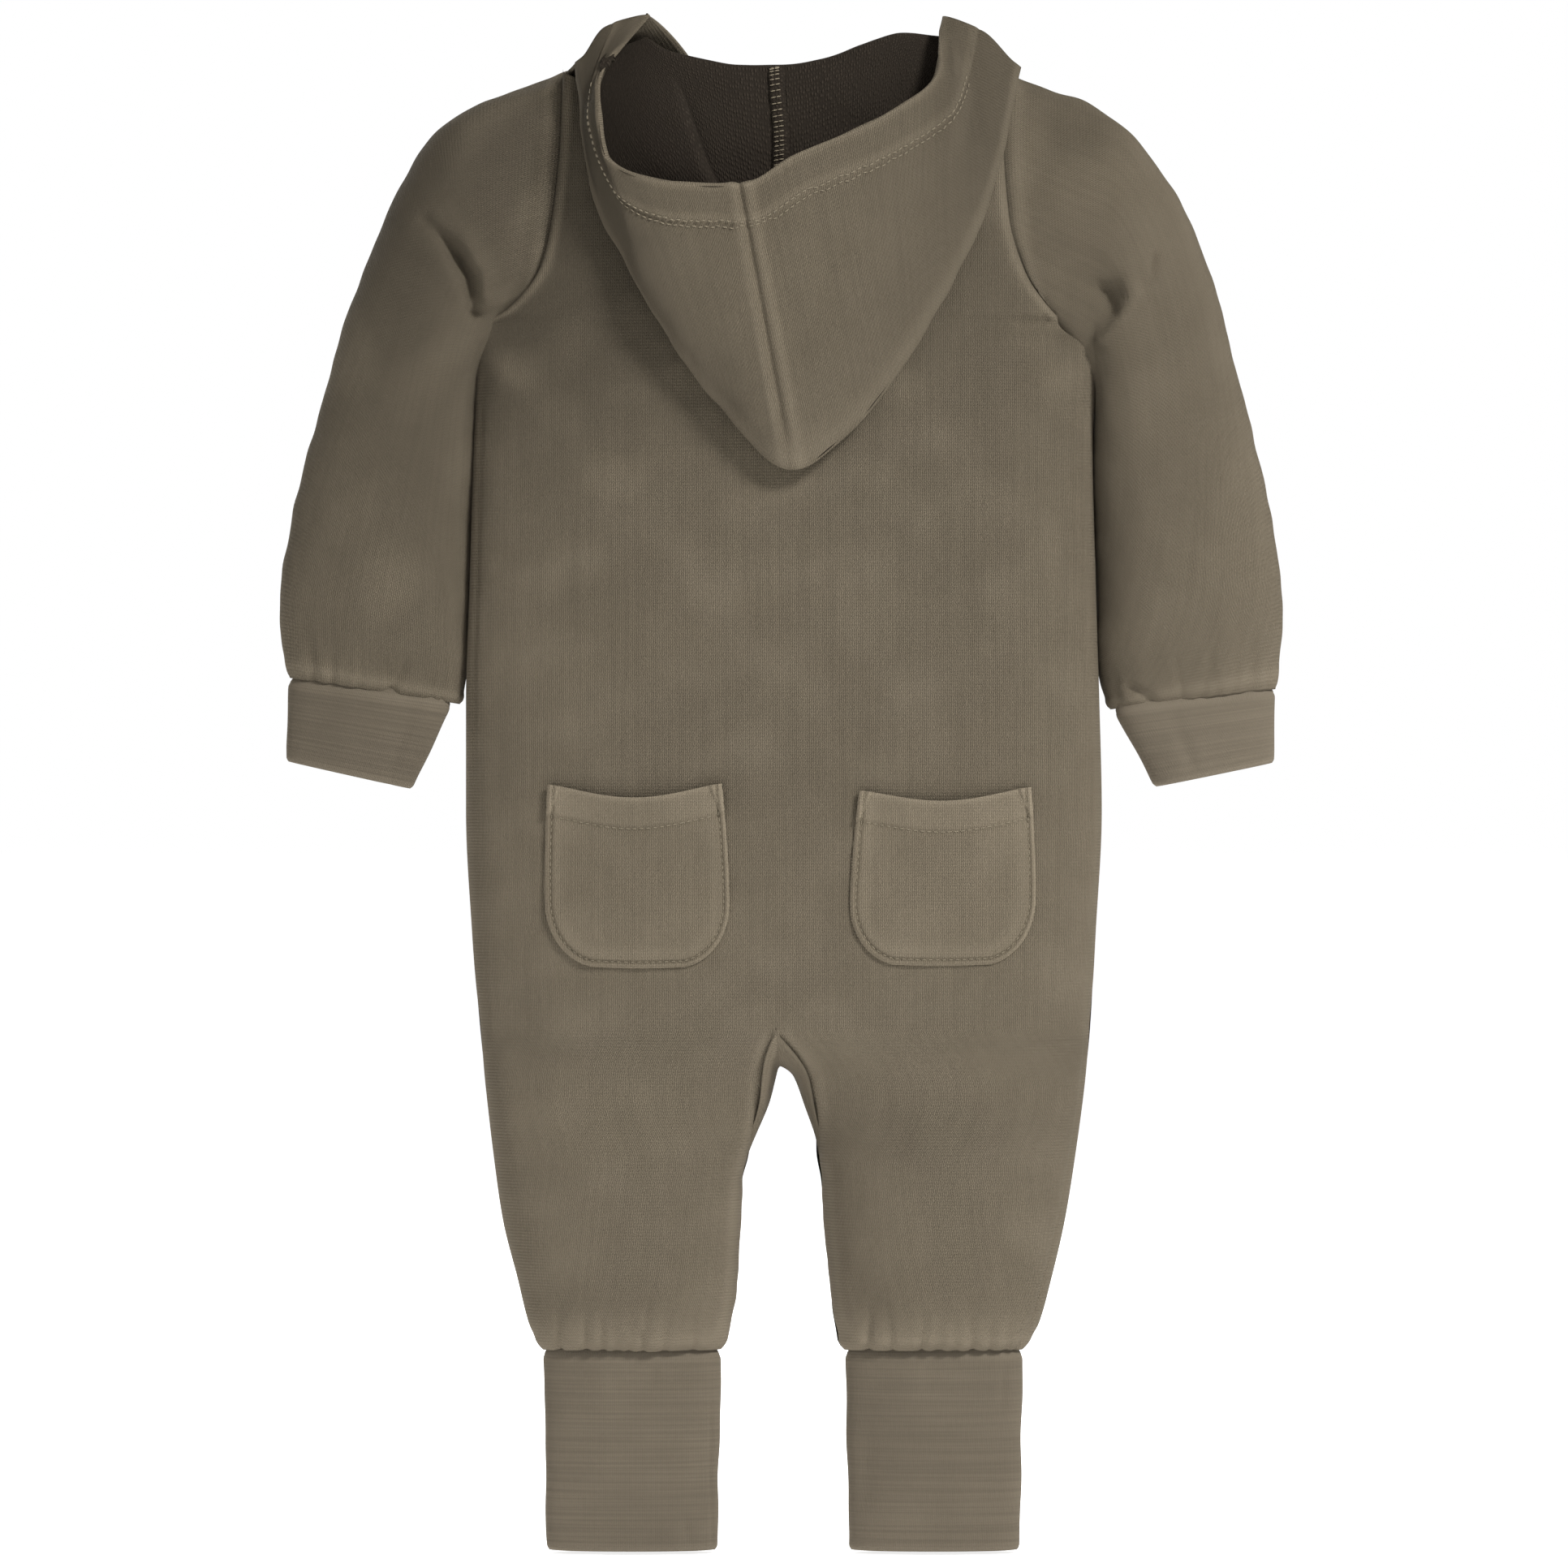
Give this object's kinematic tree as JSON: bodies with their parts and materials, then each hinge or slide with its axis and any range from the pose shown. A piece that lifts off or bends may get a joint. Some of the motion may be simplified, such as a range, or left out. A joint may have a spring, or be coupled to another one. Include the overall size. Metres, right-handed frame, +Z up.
{
  "type": "hooded one-piece",
  "caption": "Baby's hooded long-sleeved one-piece in faded knit, with raglan sleeves, rib wrist and ankle cuffs, two rounded back pockets and a front zip",
  "frame": {"origin": "Floor plane of the ankle hems, midway between the side seams, in the plane between the back and the front of the garment.", "axes": "+Z up from the ankles to the hood, +X to the right as seen from behind, +Y out of the front, where the zip is; the back with its pockets faces -Y."},
  "size_m": [0.4063, 0.09, 0.6205],
  "materials": {
    "terry": "garment-dyed French terry knit, faded olive grey",
    "terry_back": "looped reverse of the knit, darker",
    "rib": "fine cotton rib, doubled",
    "tape": "woven cotton tape",
    "zip_metal": "dull antique brass",
    "label": "plain woven ribbon, blank"
  },
  "bodies": {
    "torso": {"torso_back": "terry", "torso_front_left": "terry", "torso_front_right": "terry", "crotch_gusset": "terry", "left_pocket": "terry", "right_pocket": "terry", "hood_front_left": "terry", "hood_front_right": "terry", "zip_tape_left": "tape", "zip_tape_right": "tape", "zip_chain": "zip_metal", "zip_top_stop_left": "zip_metal", "zip_top_stop_right": "zip_metal", "zip_bottom_stop": "zip_metal", "zip_guard": "terry", "neck_tape": "tape", "hanger_loop": "tape", "care_label": "label"},
    "hood": {"hood_left": "terry", "hood_right": "terry", "hood_hem_left": "terry", "hood_hem_right": "terry", "hood_centre_seam": "terry_back"},
    "zip_slider": {"zip_slider": "zip_metal"},
    "zip_pull": {"zip_pull": "zip_metal"},
    "left_sleeve": {"left_sleeve": "terry", "left_wrist_cuff": "rib"},
    "left_leg": {"left_leg_back": "terry", "left_leg_front": "terry", "left_ankle_cuff": "rib"},
    "right_sleeve": {"right_sleeve": "terry", "right_wrist_cuff": "rib"},
    "right_leg": {"right_leg_back": "terry", "right_leg_front": "terry", "right_ankle_cuff": "rib"}
  },
  "joints": [
    {"name": "left_sleeve_swing", "type": "hinge", "parent": "torso", "child": "left_sleeve", "pos_m": [-0.11, 0, 0.575], "axis": [1, 0, 0], "range_deg": [0, 50], "deforming": ["left_sleeve"]},
    {"name": "left_leg_swing", "type": "hinge", "parent": "torso", "child": "left_leg", "pos_m": [-0.065, 0.0305, 0.212], "axis": [1, 0, 0], "range_deg": [0, 35]},
    {"name": "right_sleeve_swing", "type": "hinge", "parent": "torso", "child": "right_sleeve", "pos_m": [0.11, 0, 0.575], "axis": [1, 0, 0], "range_deg": [0, 50], "deforming": ["right_sleeve"]},
    {"name": "right_leg_swing", "type": "hinge", "parent": "torso", "child": "right_leg", "pos_m": [0.065, 0.0305, 0.212], "axis": [1, 0, 0], "range_deg": [0, 35]},
    {"name": "hood_lift", "type": "hinge", "parent": "torso", "child": "hood", "pos_m": [0, -0.018, 0.592], "axis": [-1, 0, 0], "range_deg": [0, 50]},
    {"name": "zip_slide", "type": "slide", "parent": "torso", "child": "zip_slider", "axis": [0, 0, -1], "range_m": [0, 0.3]},
    {"name": "zip_pull_flip", "type": "hinge", "parent": "zip_slider", "child": "zip_pull", "pos_m": [0, 0.0329, 0.5475], "axis": [1, 0, 0], "range_deg": [0, 160]}
  ]
}
